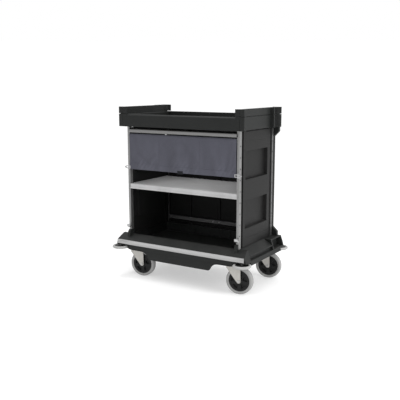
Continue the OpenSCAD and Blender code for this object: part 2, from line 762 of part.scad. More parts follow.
base_deck();
front_skirt();
rear_skirt();
front_strip();
strip_screws();
post_front_left();
post_front_right();
post_rear_left();
post_rear_right();
post_feet();
front_top_rail();
rear_rails();
rail_bolts();
side_panel_left();
side_panel_right();
back_panel_left();
back_panel_right();
corner_gussets();
tray();
end_rail_left();
end_rail_right();
shelf();
shelf_supports();
blind_brackets();
upper_catches();
lower_catches();
bumper_pins();
castor_bolts();
blind_tube();
blind_curtain();
blind_bar();
pull_tab();
for (c = CORNERS) {
    castor_plate(c);
    castor_fork(c);
    castor_axle(c);
    wheel_hub(c);
    wheel_tyre(c);
    bumper_hub(c);
    bumper_ring(c);
}
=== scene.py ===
"""Looks of a housekeeping cart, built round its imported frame.

The frame's own solids keep their shapes: each gets softened edges and a finish. The blind's cloth, its
stitches and webbing tab, the tyres and the small castor fittings are surfaces worked out here. Lengths are in
metres, and +X runs along the cart, -Y out of its open front and +Z up.
"""

import json
import logging
import math
from dataclasses import dataclass
from enum import Enum
from typing import Any, Mapping, Sequence, Union

import bmesh
import bpy
import numpy as np
from mathutils import Matrix, Vector

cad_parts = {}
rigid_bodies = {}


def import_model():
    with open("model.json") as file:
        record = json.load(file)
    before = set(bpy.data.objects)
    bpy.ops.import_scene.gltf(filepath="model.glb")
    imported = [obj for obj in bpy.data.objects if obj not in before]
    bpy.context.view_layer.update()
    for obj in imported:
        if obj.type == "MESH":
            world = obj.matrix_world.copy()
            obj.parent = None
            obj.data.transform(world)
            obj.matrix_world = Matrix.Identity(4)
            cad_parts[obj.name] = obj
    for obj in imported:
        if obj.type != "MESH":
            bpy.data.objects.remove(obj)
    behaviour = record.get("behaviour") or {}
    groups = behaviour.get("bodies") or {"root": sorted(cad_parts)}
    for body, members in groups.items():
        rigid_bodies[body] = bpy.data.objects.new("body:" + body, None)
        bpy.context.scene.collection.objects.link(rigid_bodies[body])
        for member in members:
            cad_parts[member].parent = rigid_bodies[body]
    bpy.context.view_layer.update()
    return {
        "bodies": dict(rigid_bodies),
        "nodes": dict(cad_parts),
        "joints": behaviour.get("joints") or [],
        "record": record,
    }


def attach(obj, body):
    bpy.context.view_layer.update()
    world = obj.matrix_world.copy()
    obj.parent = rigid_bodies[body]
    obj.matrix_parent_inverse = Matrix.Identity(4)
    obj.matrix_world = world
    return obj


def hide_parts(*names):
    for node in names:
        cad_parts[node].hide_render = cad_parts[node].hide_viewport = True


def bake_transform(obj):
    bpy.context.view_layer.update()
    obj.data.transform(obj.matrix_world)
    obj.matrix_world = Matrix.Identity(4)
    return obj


LOG = logging.getLogger("cart")
MM = 0.001

Number = Union[int, float]
Colour = tuple[float, float, float]


# ---- Shader maths ----


class Val:
    """A number that varies over a surface: one output socket, with Python's operators as Math nodes."""

    def __init__(self, shop: "NodeShop", socket: bpy.types.NodeSocket) -> None:
        """Wraps a socket.

        Args:
            shop: the material's node maker.
            socket: the output socket that gives the number.
        """
        self.shop = shop
        self.socket = socket

    def _math(self, operation: str, first: Any, second: Any = None) -> "Val":
        """Adds one Math node and returns its result."""
        sockets = {0: first} if second is None else {0: first, 1: second}
        return Val(self.shop, self.shop.add("ShaderNodeMath", {"operation": operation}, sockets).outputs[0])

    def __add__(self, other: Any) -> "Val":
        """Sum."""
        return self._math("ADD", self, other)

    def __radd__(self, other: Any) -> "Val":
        """Sum with a number on the left."""
        return self._math("ADD", other, self)

    def __sub__(self, other: Any) -> "Val":
        """Difference."""
        return self._math("SUBTRACT", self, other)

    def __rsub__(self, other: Any) -> "Val":
        """Difference from a number on the left."""
        return self._math("SUBTRACT", other, self)

    def __mul__(self, other: Any) -> "Val":
        """Product."""
        return self._math("MULTIPLY", self, other)

    def __rmul__(self, other: Any) -> "Val":
        """Product with a number on the left."""
        return self._math("MULTIPLY", other, self)

    def sine(self) -> "Val":
        """Sine of the value in radians."""
        return self._math("SINE", self)

    def ramp(self, low: Number, high: Number, out_low: Number = 0.0, out_high: Number = 1.0) -> "Val":
        """Straight ramp held at both ends.

        Args:
            low: the value that gives out_low.
            high: the value that gives out_high.
            out_low: result at and below low.
            out_high: result at and above high.

        Returns:
            The mapped value.
        """
        sockets = {"Value": self, 1: low, 2: high, 3: out_low, 4: out_high}
        return Val(self.shop, self.shop.add("ShaderNodeMapRange", {"clamp": True}, sockets).outputs[0])


class NodeShop:
    """Makes the nodes of one material."""

    def __init__(self, name: str) -> None:
        """Starts a material with a plain surface shader.

        Args:
            name: the material's name.
        """
        self.material = bpy.data.materials.new(name)
        self.material.use_nodes = True
        self.nodes = self.material.node_tree.nodes
        self.links = self.material.node_tree.links
        self.nodes.clear()
        self.surface = self.add("ShaderNodeBsdfPrincipled")
        self.add("ShaderNodeOutputMaterial", None, {"Surface": self.surface.outputs[0]})
        self.place = self.add("ShaderNodeTexCoord").outputs["Object"]

    def add(
        self,
        kind: str,
        settings: Mapping[str, Any] | None = None,
        sockets: Mapping[Union[str, int], Any] | None = None,
    ) -> bpy.types.Node:
        """Adds a node, sets it up, and fills its sockets.

        Args:
            kind: the node's type.
            settings: the node's own properties.
            sockets: a value, a Val or a socket for each input, by name or number.

        Returns:
            The node.
        """
        node = self.nodes.new(kind)
        for key, value in (settings or {}).items():
            setattr(node, key, value)
        for key, value in (sockets or {}).items():
            self.feed(node.inputs[key], value)
        return node

    def feed(self, socket: bpy.types.NodeSocket, value: Any) -> None:
        """Sets or links one input socket."""
        if isinstance(value, Val):
            self.links.new(value.socket, socket)
        elif isinstance(value, bpy.types.NodeSocket):
            self.links.new(value, socket)
        elif isinstance(value, tuple) and len(value) == 3 and socket.type == "RGBA":
            socket.default_value = (*value, 1.0)
        else:
            socket.default_value = value

    def spot(self, scale: Sequence[float], turn: Sequence[float] = (0, 0, 0)) -> bpy.types.NodeSocket:
        """Object coordinates stretched by a scale and turned."""
        sockets = {"Vector": self.place, "Scale": tuple(scale), "Rotation": tuple(turn)}
        return self.add("ShaderNodeMapping", None, sockets).outputs[0]

    def noise(
        self,
        scale: Number,
        detail: Number = 3,
        rough: Number = 0.5,
        stretch: Sequence[float] = (1, 1, 1),
        turn: Sequence[float] = (0, 0, 0),
    ) -> Val:
        """Smooth noise from 0 to 1.

        Args:
            scale: features per metre.
            detail: octaves.
            rough: strength of the finer octaves.
            stretch: scale along each axis.
            turn: turn of the pattern, in radians.

        Returns:
            The noise.
        """
        sockets = {"Vector": self.spot(stretch, turn), "Scale": scale, "Detail": detail, "Roughness": rough}
        return Val(self, self.add("ShaderNodeTexNoise", None, sockets).outputs[0])

    def cells(self, scale: Number) -> Val:
        """Distance to the middle of the nearest cell, from 0 at the middle."""
        sockets = {"Vector": self.place, "Scale": scale}
        return Val(self, self.add("ShaderNodeTexVoronoi", None, sockets).outputs["Distance"])

    def axis(self, index: int, source: bpy.types.NodeSocket | None = None) -> Val:
        """One coordinate, in metres.

        Args:
            index: 0, 1 or 2.
            source: a vector socket; object coordinates if it is left out.

        Returns:
            The coordinate.
        """
        split = self.add("ShaderNodeSeparateXYZ", None, {0: source or self.place})
        return Val(self, split.outputs[index])

    def facing_up(self) -> Val:
        """1 on faces that look up, 0 on walls and undersides."""
        return self.axis(2, self.add("ShaderNodeNewGeometry").outputs["Normal"]).ramp(0.55, 0.95)

    def edge(self, radius: Number, gain: Number) -> Val:
        """Mask that rises towards the edges of a solid.

        A normal that is averaged over a small radius leans away from the true one only near an edge, so one
        minus their dot product is 0 on flats and grows at edges.

        Args:
            radius: reach of the mask, in metres.
            gain: how fast it rises.

        Returns:
            The mask, from 0 to 1.
        """
        soft = self.add("ShaderNodeBevel", {"samples": 4}, {"Radius": radius}).outputs[0]
        true = self.add("ShaderNodeNewGeometry").outputs["Normal"]
        dot = self.add("ShaderNodeVectorMath", {"operation": "DOT_PRODUCT"}, {0: soft, 1: true})
        return ((1 - Val(self, dot.outputs["Value"])) * gain).ramp(0, 1)

    def mix(self, share: Any, first: Any, second: Any) -> bpy.types.NodeSocket:
        """Colour between two colours.

        Args:
            share: 0 gives the first, 1 the second.
            first: a colour or a colour socket.
            second: a colour or a colour socket.

        Returns:
            The mixed colour's socket.
        """
        node = self.nodes.new("ShaderNodeMix")
        node.data_type = "RGBA"
        self.feed(node.inputs[0], share)
        self.feed(node.inputs[6], first)
        self.feed(node.inputs[7], second)
        return node.outputs[2]

    def bump(self, height: Val, distance: Number, strength: Number = 1.0) -> bpy.types.NodeSocket:
        """Normal that is tilted as a height would tilt it.

        Args:
            height: height in units of distance.
            distance: metres for a height of 1.
            strength: share of the effect.

        Returns:
            The normal's socket.
        """
        sockets = {"Height": height, "Distance": distance, "Strength": strength}
        return self.add("ShaderNodeBump", None, sockets).outputs[0]

    def done(self, **sockets: Any) -> bpy.types.Material:
        """Feeds the surface shader's sockets, named with underscores for spaces, and returns the material."""
        for key, value in sockets.items():
            self.feed(self.surface.inputs[key.replace("_", " ")], value)
        return self.material


def scaled(colour: Colour, share: float) -> Colour:
    """A colour made lighter or darker by a factor."""
    return (colour[0] * share, colour[1] * share, colour[2] * share)


# ---- Finishes ----


@dataclass(frozen=True)
class MouldedPlastic:
    """Moulded plastic with a fine spark-eroded grain, rubbed edges and dust on its level faces."""

    name: str
    colour: Colour
    worn: Colour
    roughness: float = 0.52
    grain: float = 0.05
    dust: float = 0.10
    gloss: float = 0.18
    wear: float = 0.35

    def paint(self) -> bpy.types.Material:
        """Builds the material."""
        shop = NodeShop(self.name)
        cloud = shop.noise(5.5, 3, 0.55)
        fleck = shop.noise(420, 2, 0.6)
        scuff = shop.noise(26, 5, 0.7, (1.0, 6.0, 0.6), (0.2, 0.5, 0.3)).ramp(0.60, 0.72)
        rubbed = shop.edge(2.2 * MM, 7.0) * shop.noise(38, 4, 0.65).ramp(0.42, 0.66)
        dusty = shop.facing_up() * shop.noise(9, 5, 0.6).ramp(0.35, 0.75)
        tone = shop.mix(cloud.ramp(0.3, 0.7), scaled(self.colour, 0.88), scaled(self.colour, 1.12))
        tone = shop.mix(fleck.ramp(0.35, 0.75) * 0.25, tone, scaled(self.colour, 1.6))
        tone = shop.mix(scuff * 0.10, tone, self.worn)
        tone = shop.mix(rubbed * self.wear, tone, self.worn)
        tone = shop.mix(dusty * self.dust, tone, (0.16, 0.155, 0.15))
        rough = (cloud - 0.5) * 0.10 + self.roughness + scuff * 0.08 - rubbed * 0.10 + dusty * 0.12
        grain = shop.cells(1250) + shop.noise(620, 3, 0.6) * 0.9
        normal = shop.bump(grain + cloud * 4.0 + scuff * 0.5, self.grain * MM)
        return shop.done(
            Base_Color=tone,
            Roughness=rough.ramp(0.1, 0.95, 0.1, 0.95),
            Normal=normal,
            Specular_IOR_Level=self.gloss,
        )


class Lay(Enum):
    """Which way a metal's drawing or brushing lines run."""

    UP = (1.0, 1.0, 0.012)
    ALONG = (0.012, 1.0, 1.0)
    EVERY = (1.0, 1.0, 1.0)


@dataclass(frozen=True)
class DrawnMetal:
    """Extruded or plated metal with fine drawing lines, a little clouding and small nicks."""

    name: str
    colour: Colour
    lay: Lay
    roughness: float = 0.38
    metallic: float = 0.85
    lines: float = 0.03
    nicks: float = 0.25

    def paint(self) -> bpy.types.Material:
        """Builds the material."""
        shop = NodeShop(self.name)
        lines = shop.noise(900, 3, 0.65, self.lay.value)
        broad = shop.noise(160, 2, 0.5, self.lay.value)
        cloud = shop.noise(7, 4, 0.6)
        nick = shop.noise(60, 5, 0.75, (1.0, 1.0, 3.0), (0.5, 0.2, 0.9)).ramp(0.655, 0.70)
        rubbed = shop.edge(1.4 * MM, 5.0)
        tone = shop.mix(cloud.ramp(0.3, 0.7), scaled(self.colour, 0.93), scaled(self.colour, 1.05))
        tone = shop.mix(lines.ramp(0.3, 0.7) * 0.45, tone, scaled(self.colour, 0.84))
        tone = shop.mix(broad.ramp(0.35, 0.7) * 0.3, tone, scaled(self.colour, 1.08))
        tone = shop.mix(nick * self.nicks, tone, scaled(self.colour, 0.55))
        tone = shop.mix(rubbed * 0.35, tone, scaled(self.colour, 1.25))
        rough = (lines - 0.5) * 0.22 + self.roughness + (cloud - 0.5) * 0.12 + nick * 0.1
        normal = shop.bump(lines + broad * 0.6 - nick * 1.5, self.lines * MM)
        return shop.done(
            Base_Color=tone, Roughness=rough.ramp(0.08, 0.9, 0.08, 0.9), Metallic=self.metallic, Normal=normal
        )


@dataclass(frozen=True)
class ZincPaint:
    """Pressed steel under a warm grey zinc coat: soft spangle, faint runs and rubbed edges."""

    name: str
    colour: Colour

    def paint(self) -> bpy.types.Material:
        """Builds the material."""
        shop = NodeShop(self.name)
        spangle = shop.cells(150)
        fine = shop.noise(520, 3, 0.6)
        stain = shop.noise(22, 5, 0.7, (1, 1, 0.35)).ramp(0.48, 0.72)
        rubbed = shop.edge(1.8 * MM, 5.0)
        tone = shop.mix(spangle.ramp(0.1, 0.7), scaled(self.colour, 0.94), scaled(self.colour, 1.04))
        tone = shop.mix(fine.ramp(0.3, 0.7) * 0.3, tone, scaled(self.colour, 0.88))
        tone = shop.mix(stain * 0.22, tone, (0.36, 0.33, 0.28))
        tone = shop.mix(rubbed * 0.3, tone, (0.78, 0.77, 0.74))
        rough = spangle * 0.14 + 0.34 + stain * 0.18 + fine * 0.06
        normal = shop.bump(fine + spangle * 1.5, 0.04 * MM)
        return shop.done(Base_Color=tone, Roughness=rough, Metallic=0.25, Normal=normal)


@dataclass(frozen=True)
class GreyRubber:
    """Non-marking grey rubber: fine matt skin, small dark scrapes and a darker tone towards the bottom."""

    name: str
    colour: Colour
    dark_tone: Colour = (0.12, 0.115, 0.105)

    def paint(self) -> bpy.types.Material:
        """Builds the material."""
        shop = NodeShop(self.name)
        cloud = shop.noise(14, 4, 0.6)
        fine = shop.noise(700, 3, 0.65)
        scrape = shop.noise(48, 6, 0.75, (1.0, 2.5, 1.0), (0.4, 0.1, 0.8)).ramp(0.60, 0.70)
        # Darker towards the bottom, within 50 mm of the floor
        low = shop.axis(2).ramp(0.0, 0.05, 1.0, 0.0) * shop.noise(30, 4, 0.6).ramp(0.3, 0.7)
        tone = shop.mix(cloud.ramp(0.3, 0.7), scaled(self.colour, 0.90), scaled(self.colour, 1.07))
        tone = shop.mix(fine.ramp(0.45, 0.8) * 0.25, tone, scaled(self.colour, 0.75))
        tone = shop.mix(scrape * 0.22, tone, self.dark_tone)
        tone = shop.mix(low * 0.35, tone, self.dark_tone)
        rough = cloud * 0.12 + 0.50 + scrape * 0.12
        normal = shop.bump(fine + scrape * 0.8, 0.05 * MM)
        return shop.done(Base_Color=tone, Roughness=rough, Normal=normal, Specular_IOR_Level=0.35)


@dataclass(frozen=True)
class WovenCloth:
    """Plain weave on the cloth's own width and length map: threads over and under, slubs and soft fading."""

    name: str
    colour: Colour
    pitch: float
    sheen: float
    relief: float = 0.12
    # Share of painted light on the crests of the cloth's folds and of painted shade in their valleys
    rubbed: float = 0.0

    @staticmethod
    def thread_noise(shop: NodeShop, flat: bpy.types.NodeSocket, stretch: Sequence[float]) -> Val:
        """Noise stretched along one set of threads.

        Args:
            shop: the material's node maker.
            flat: the cloth's width and length map.
            stretch: features per metre across, down and out of the cloth.

        Returns:
            The noise, from 0 to 1.
        """
        way = shop.add("ShaderNodeMapping", None, {"Vector": flat, "Scale": tuple(stretch)})
        sockets = {"Vector": way.outputs[0], "Scale": 1.0, "Detail": 2}
        return Val(shop, shop.add("ShaderNodeTexNoise", None, sockets).outputs[0])

    def paint(self) -> bpy.types.Material:
        """Builds the material.

        The map's U and V are metres across and down the cloth. The product of two sine waves, one across and
        one down, gives the over and under of a plain weave, and noise stretched along each thread gives its
        slubs. Where the cloth carries its folds, painted light makes their crests paler and painted shade
        darkens their valleys.

        Returns:
            The material.
        """
        shop = NodeShop(self.name)
        flat = shop.add("ShaderNodeUVMap", {"uv_map": "cloth"}).outputs[0]
        across, down = shop.axis(0, flat), shop.axis(1, flat)
        turn = 2 * math.pi / self.pitch
        warp, weft = (across * turn).sine(), (down * turn).sine()
        weave = warp * weft * 0.5 + 0.5
        slub = self.thread_noise(shop, flat, (40, 1500, 1)) + self.thread_noise(shop, flat, (1500, 40, 1))
        fade = shop.noise(11, 3, 0.5, (1.0, 1.0, 0.28), (0.0, 0.12, 0.0))
        soil = shop.noise(17, 5, 0.65).ramp(0.55, 0.75)
        tone = shop.mix(slub.ramp(0.7, 1.3), scaled(self.colour, 0.84), scaled(self.colour, 1.14))
        tone = shop.mix(weave * 0.30, tone, scaled(self.colour, 0.70))
        tone = shop.mix(fade.ramp(0.35, 0.65) * 0.4, tone, scaled(self.colour, 1.22))
        tone = shop.mix(soil * 0.12, tone, scaled(self.colour, 0.6))
        # Painted light and shade on the folds: the fold attribute makes crests paler and valleys darker
        if self.rubbed > 0:
            fold_shading = Val(shop, shop.add("ShaderNodeAttribute", {"attribute_name": "fold"}).outputs["Fac"])
            tone = shop.mix(fold_shading.ramp(0.0, 0.55, self.rubbed, 0.0), tone, scaled(self.colour, 0.55))
            tone = shop.mix(fold_shading.ramp(0.55, 1.0, 0.0, self.rubbed), tone, scaled(self.colour, 1.5))
        rough = slub * 0.05 + 0.72
        normal = shop.bump(weave + slub * 0.8, self.relief * MM)
        return shop.done(
            Base_Color=tone,
            Roughness=rough,
            Normal=normal,
            Specular_IOR_Level=0.25,
            Sheen_Weight=self.sheen,
            Sheen_Roughness=0.5,
        )


BLACK = MouldedPlastic("satin_black_moulding", (0.0112, 0.0121, 0.0117), (0.070, 0.071, 0.069))
# A darker copy of the black moulding: painted shade on the side panels
SIDE_SHADED_BLACK = MouldedPlastic(
    "side_panel_shaded_moulding",
    (0.0090, 0.0090, 0.0089),
    (0.06, 0.06, 0.059),
    roughness=0.5,
    grain=0.06,
    gloss=0.15,
)
# A darker copy of the black moulding: painted shade on the back panel inside the cart
INNER_SHADED_BLACK = MouldedPlastic(
    "inner_panel_shaded_moulding", (0.0058, 0.0058, 0.0058), (0.03, 0.03, 0.03), roughness=0.6, gloss=0.14, wear=0.2
)
HUB_BLACK = MouldedPlastic(
    "wheel_centre_moulding",
    (0.0070, 0.0072, 0.0073),
    (0.04, 0.04, 0.04),
    roughness=0.42,
    grain=0.03,
    gloss=0.2,
)
SHELF_GREY = MouldedPlastic(
    "shelf_moulding",
    (0.40, 0.40, 0.402),
    (0.50, 0.50, 0.50),
    roughness=0.42,
    grain=0.03,
    dust=0.02,
    gloss=0.3,
    wear=0.08,
)
POST_METAL = DrawnMetal("satin_extrusion", (0.255, 0.255, 0.254), Lay.UP, roughness=0.42)
RAIL_METAL = DrawnMetal("satin_rail_extrusion", (0.25, 0.25, 0.25), Lay.ALONG, roughness=0.42)
# A darker copy of the extrusion: painted shade on the top rail under the tray's overhang
TOP_RAIL_SHADED_METAL = DrawnMetal("top_rail_shaded_extrusion", (0.215, 0.215, 0.214), Lay.ALONG, roughness=0.42)
# A darker copy of the post extrusion: painted shade on the rear posts at the back of the cart
REAR_POST_SHADED_METAL = DrawnMetal("rear_post_shaded_extrusion", (0.15, 0.15, 0.15), Lay.UP, roughness=0.42)
STRIP_METAL = DrawnMetal("edge_strip_extrusion", (0.43, 0.43, 0.429), Lay.ALONG, roughness=0.40, nicks=0.35)
DARK_METAL = DrawnMetal("dark_rail_paint", (0.085, 0.085, 0.086), Lay.ALONG, roughness=0.45, metallic=0.2)
BRIGHT_METAL = DrawnMetal("bright_zinc_plate", (0.44, 0.44, 0.445), Lay.EVERY, roughness=0.28, metallic=0.95)
FORK_ZINC = ZincPaint("zinc_coated_pressing", (0.45, 0.437, 0.41))
TYRE_GREY = GreyRubber("grey_tyre_rubber", (0.28, 0.28, 0.277))
BUMPER_GREY = GreyRubber("grey_bumper_rubber", (0.36, 0.36, 0.356))
# The blind's rubbed share sets the painted light and shade on its folds
BLIND_CLOTH = WovenCloth("blind_weave", (0.0655, 0.0662, 0.0845), 1.3 * MM, 0.06, rubbed=0.4)
TAB_WEBBING = WovenCloth("tab_webbing", (0.006, 0.007, 0.010), 2.4 * MM, 0.03, 0.25)
THREAD = DrawnMetal("sewing_thread", (0.045, 0.047, 0.062), Lay.EVERY, roughness=0.8, metallic=0.0, lines=0.1)

SLOT_FINISH: dict[str, Any] = {
    "black_plastic": BLACK,
    "hub_plastic": HUB_BLACK,
    "aluminium": POST_METAL,
    "dark_rail": DARK_METAL,
    "bright_steel": BRIGHT_METAL,
    "zinc_fork": FORK_ZINC,
    "shelf_grey": SHELF_GREY,
    "blind_fabric": BLIND_CLOTH,
    "tab_fabric": TAB_WEBBING,
    "grey_rubber": TYRE_GREY,
}
NODE_FINISH: dict[str, Any] = {
    "front_strip": STRIP_METAL,
    "front_top_rail": TOP_RAIL_SHADED_METAL,
    "post_rear": REAR_POST_SHADED_METAL,
    "blind_tube": RAIL_METAL,
    "side_panel": SIDE_SHADED_BLACK,
    "back_panel": INNER_SHADED_BLACK,
    "bumper_ring": BUMPER_GREY,
}
# Width of the softened edges of the frame's solids, by the start of a node's name
EDGE_WIDTH: dict[str, float] = {
    "base_deck": 1.8,
    "front_skirt": 1.2,
    "rear_skirt": 1.2,
    "tray": 2.0,
    "end_rail": 2.0,
    "side_panel": 1.0,
    "back_panel": 1.2,
    "corner_gussets": 1.4,
    "post_feet": 1.4,
    "post_": 0.6,
    "front_strip": 0.3,
    "shelf": 0.5,
    "castor_fork": 1.3,
    "wheel_hub": 0.8,
    "castor_": 0.6,
    "rear_rails": 0.5,
}


def by_start(table: Mapping[str, Any], name: str, default: Any) -> Any:
    """The first entry of a table whose key starts a name, or a default."""
    return next((value for key, value in table.items() if name.startswith(key)), default)


class Paintshop:
    """Keeps one material for each finish."""

    def __init__(self) -> None:
        """Starts with none made."""
        self.made: dict[str, bpy.types.Material] = {}

    def get(self, finish: Any) -> bpy.types.Material:
        """The material of a finish, made on first use."""
        if finish.name not in self.made:
            self.made[finish.name] = finish.paint()
        return self.made[finish.name]


# ---- Surfaces ----


@dataclass(frozen=True)
class Surface:
    """Points in the row frame, faces as rows of indices, and a sheet's width and length map and the painted
    light and shade of its folds.
    """

    points: np.ndarray
    faces: np.ndarray
    flat: np.ndarray | None = None
    fold: np.ndarray | None = None

    def moved(self, place: Matrix) -> "Surface":
        """The surface after a rigid move."""
        turn = np.array(place, float)
        return Surface(self.points @ turn[:3, :3].T + turn[:3, 3], self.faces, self.flat)

    @staticmethod
    def joined(parts: Sequence["Surface"]) -> "Surface":
        """Several surfaces as one; their faces all have as many corners."""
        starts = np.cumsum([0] + [len(part.points) for part in parts[:-1]])
        return Surface(
            np.concatenate([part.points for part in parts]),
            np.concatenate([part.faces + start for part, start in zip(parts, starts)]),
        )


def grid_faces(rows: int, columns: int, round_rows: bool = False, round_columns: bool = False) -> np.ndarray:
    """Four-cornered faces of a grid of points that is numbered row by row.

    Args:
        rows: number of rows of points.
        columns: number of points in a row.
        round_rows: the last row joins the first.
        round_columns: each row's last point joins its first.

    Returns:
        One row of four indices for each face.
    """
    r = np.arange(rows if round_rows else rows - 1)[:, None]
    c = np.arange(columns if round_columns else columns - 1)[None, :]
    r1, c1 = (r + 1) % rows, (c + 1) % columns
    corners = [r * columns + c, r * columns + c1, r1 * columns + c1, r1 * columns + c]
    return np.stack([np.broadcast_to(k, (r.shape[0], c.shape[1])).ravel() for k in corners], axis=1)


def turned_ring(profile: np.ndarray, count: int) -> Surface:
    """A closed outline turned about the Z axis.

    Each outline point (radius, height) goes round the axis in equal steps: x and y are the radius times the
    cosine and sine of the step's angle.

    Args:
        profile: rows of radius and height, the last joining the first.
        count: steps round the axis.

    Returns:
        The closed ring.
    """
    angle = np.linspace(0, 2 * math.pi, count, endpoint=False)[:, None]
    radius, height = profile[:, 0][None, :], profile[:, 1][None, :]
    height = np.broadcast_to(height, (count, len(profile)))
    points = np.stack([radius * np.cos(angle), radius * np.sin(angle), height], axis=-1)
    return Surface(points.reshape(-1, 3), grid_faces(count, len(profile), True, True))


def swept_rod(path: np.ndarray, radius: float, sides: int) -> Surface:
    """A round rod along a path, with domed ends.

    At each path point a circle lies across the path's direction. Two more circles at each end shrink as a
    cosine, and so close it in a dome.

    Args:
        path: rows of points along the rod's middle.
        radius: the rod's radius.
        sides: points round the rod.

    Returns:
        The closed rod.
    """
    ahead = np.gradient(path, axis=0)
    ahead /= np.linalg.norm(ahead, axis=1, keepdims=True)
    up = np.array([0.0, 0.0, 1.0]) if abs(ahead[0, 2]) < 0.9 else np.array([0.0, 1.0, 0.0])
    side = np.cross(ahead, up)
    side /= np.linalg.norm(side, axis=1, keepdims=True)
    over = np.cross(side, ahead)
    lift = np.array([0.02, 0.6, 1.0])
    shrink = np.sin(np.arccos(1 - lift))
    sink = radius * (1 - lift[:, None])
    middle = np.concatenate([path[:1] - ahead[:1] * sink, path, path[-1:] + ahead[-1:] * sink[::-1]])
    share = np.concatenate([shrink, np.ones(len(path)), shrink[::-1]])[:, None, None] * radius
    side = np.concatenate([np.repeat(side[:1], 3, 0), side, np.repeat(side[-1:], 3, 0)])[:, None, :]
    over = np.concatenate([np.repeat(over[:1], 3, 0), over, np.repeat(over[-1:], 3, 0)])[:, None, :]
    angle = np.linspace(0, 2 * math.pi, sides, endpoint=False)[None, :, None]
    points = middle[:, None, :] + (side * np.cos(angle) + over * np.sin(angle)) * share
    return Surface(points.reshape(-1, 3), grid_faces(len(middle), sides, False, True))


def rounded(corners: Sequence[tuple[float, float]], radius: float, steps: int = 4) -> np.ndarray:
    """A closed outline with each corner replaced by a smooth curve.

    Each corner becomes a quadratic curve from the point one radius before it to the point one radius after,
    with the corner as its control point.

    Args:
        corners: the outline's corners in order.
        radius: how far from each corner its curve starts.
        steps: steps along each curve.

    Returns:
        Rows of points.
    """
    at = np.array(corners, float)
    back, ahead = np.roll(at, 1, 0) - at, np.roll(at, -1, 0) - at
    back_length, ahead_length = (np.linalg.norm(v, axis=1, keepdims=True) for v in (back, ahead))
    first = at + back / back_length * np.minimum(radius, back_length * 0.45)
    last = at + ahead / ahead_length * np.minimum(radius, ahead_length * 0.45)
    t = np.linspace(0, 1, steps + 1)[None, :, None]
    curve = first[:, None] * (1 - t) ** 2 + at[:, None] * 2 * t * (1 - t) + last[:, None] * t**2
    return curve.reshape(-1, 2)


def new_piece(
    name: str, surface: Surface, material: bpy.types.Material, close: bool = True
) -> bpy.types.Object:
    """A mesh object from a surface, at the origin.

    Args:
        name: the piece's name.
        surface: its points and faces.
        material: its finish.
        close: the surface is a closed shell whose ends are filled and whose faces are turned outwards.

    Returns:
        The object.
    """
    mesh = bpy.data.meshes.new(name)
    mesh.from_pydata(surface.points.tolist(), [], surface.faces.tolist())
    if surface.flat is not None:
        layer = mesh.uv_layers.new(name="cloth")
        corners = np.zeros(len(mesh.loops), np.int32)
        mesh.loops.foreach_get("vertex_index", corners)
        layer.data.foreach_set("uv", surface.flat[corners].astype(np.float32).ravel())
    # The fold attribute holds the painted light and shade of the cloth's folds
    if surface.fold is not None:
        folds = mesh.attributes.new("fold", "FLOAT", "POINT")
        folds.data.foreach_set("value", surface.fold.astype(np.float32))
    if close:
        work = bmesh.new()
        work.from_mesh(mesh)
        bmesh.ops.holes_fill(work, edges=work.edges, sides=0)
        bmesh.ops.recalc_face_normals(work, faces=work.faces)
        work.to_mesh(mesh)
        work.free()
    mesh.polygons.foreach_set("use_smooth", np.ones(len(mesh.polygons), bool))
    mesh.materials.append(material)
    piece = bpy.data.objects.new(name, mesh)
    bpy.context.scene.collection.objects.link(piece)
    LOG.info("piece %s: %d faces", name, len(mesh.polygons))
    return piece


# ---- The frame's own solids ----


